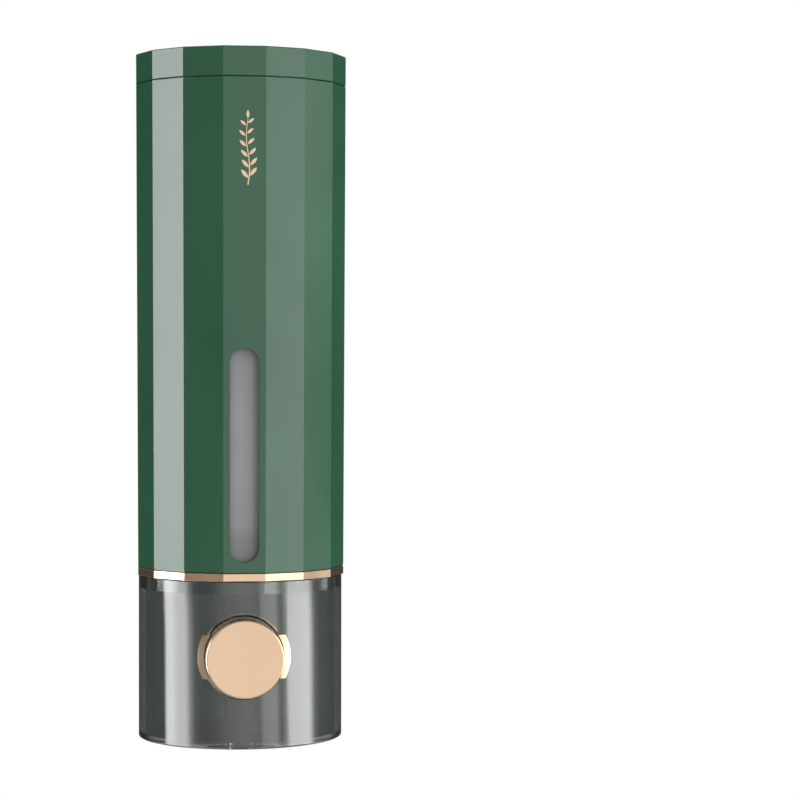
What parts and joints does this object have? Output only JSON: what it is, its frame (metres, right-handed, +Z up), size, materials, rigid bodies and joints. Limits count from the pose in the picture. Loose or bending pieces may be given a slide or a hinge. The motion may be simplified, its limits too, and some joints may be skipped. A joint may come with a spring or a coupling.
{
  "type": "wall mounted soap dispenser",
  "caption": "Wall mounted soap dispenser with a faceted housing, lift-off lid, level window, smoked base and a round push-button pump, on a slide-on bracket.",
  "frame": {"origin": "centre of the wall bracket's adhesive face, on the wall", "axes": "+Y points into the wall, +Z up, the front and its button face -Y"},
  "size_m": [0.068, 0.0687, 0.2216],
  "materials": {
    "green_gloss": "satin painted deep green",
    "smoked_clear": "polished see-through smoke grey",
    "polished_grey": "bright metallised grey plastic",
    "frosted_grey": "frosted translucent grey",
    "grey_plastic": "fine matte moulded",
    "rose_gold": "polished rose gold plating",
    "screw_steel": "plain",
    "silicone": "soft matte",
    "bracket_plastic": "moulded off-white",
    "foam_tape": "foam adhesive tape"
  },
  "bodies": {
    "bracket": {"wall_bracket": "bracket_plastic", "adhesive_pad": "foam_tape"},
    "dispenser": {"housing_shell": "green_gloss", "housing_screws": "screw_steel", "liquid_tank": "frosted_grey", "tank_seal": "silicone", "trim_ring": "rose_gold", "pump_deck": "polished_grey", "base_shell": "smoked_clear", "base_screws": "screw_steel", "button_bezel": "rose_gold", "pump_body": "grey_plastic", "pump_screws": "screw_steel", "cylinder_head": "grey_plastic", "inlet_seat": "grey_plastic", "inlet_spring": "screw_steel", "outlet_spring": "screw_steel", "nozzle": "grey_plastic", "return_spring": "screw_steel"},
    "lid": {"lid_cover": "green_gloss", "lid_plug": "grey_plastic", "lid_gasket": "silicone"},
    "button": {"button_cap": "rose_gold", "push_rod": "screw_steel", "piston": "grey_plastic", "piston_seal": "silicone", "rod_clip": "screw_steel"},
    "inlet_valve": {"inlet_ball": "screw_steel"},
    "outlet_valve": {"outlet_ball": "screw_steel"}
  },
  "joints": [
    {"name": "dispenser_lift", "type": "slide", "parent": "bracket", "child": "dispenser", "axis": [0, 0, 1], "range_m": [0, 0.025]},
    {"name": "lid_lift", "type": "slide", "parent": "dispenser", "child": "lid", "axis": [0, 0, 1], "range_m": [0, 0.03]},
    {"name": "button_press", "type": "slide", "parent": "dispenser", "child": "button", "axis": [0, 1, 0], "range_m": [0, 0.006], "stiffness_N_per_m": 800, "springref_m": -0.004, "deforming": ["return_spring"]},
    {"name": "inlet_valve_open", "type": "slide", "parent": "dispenser", "child": "inlet_valve", "axis": [0, 0, -1], "range_m": [0, 0.0012], "stiffness_N_per_m": 40, "springref_m": -0.002, "deforming": ["inlet_spring"]},
    {"name": "outlet_valve_open", "type": "slide", "parent": "dispenser", "child": "outlet_valve", "axis": [0, 0, -1], "range_m": [0, 0.0012], "stiffness_N_per_m": 40, "springref_m": -0.002, "deforming": ["outlet_spring"]}
  ]
}
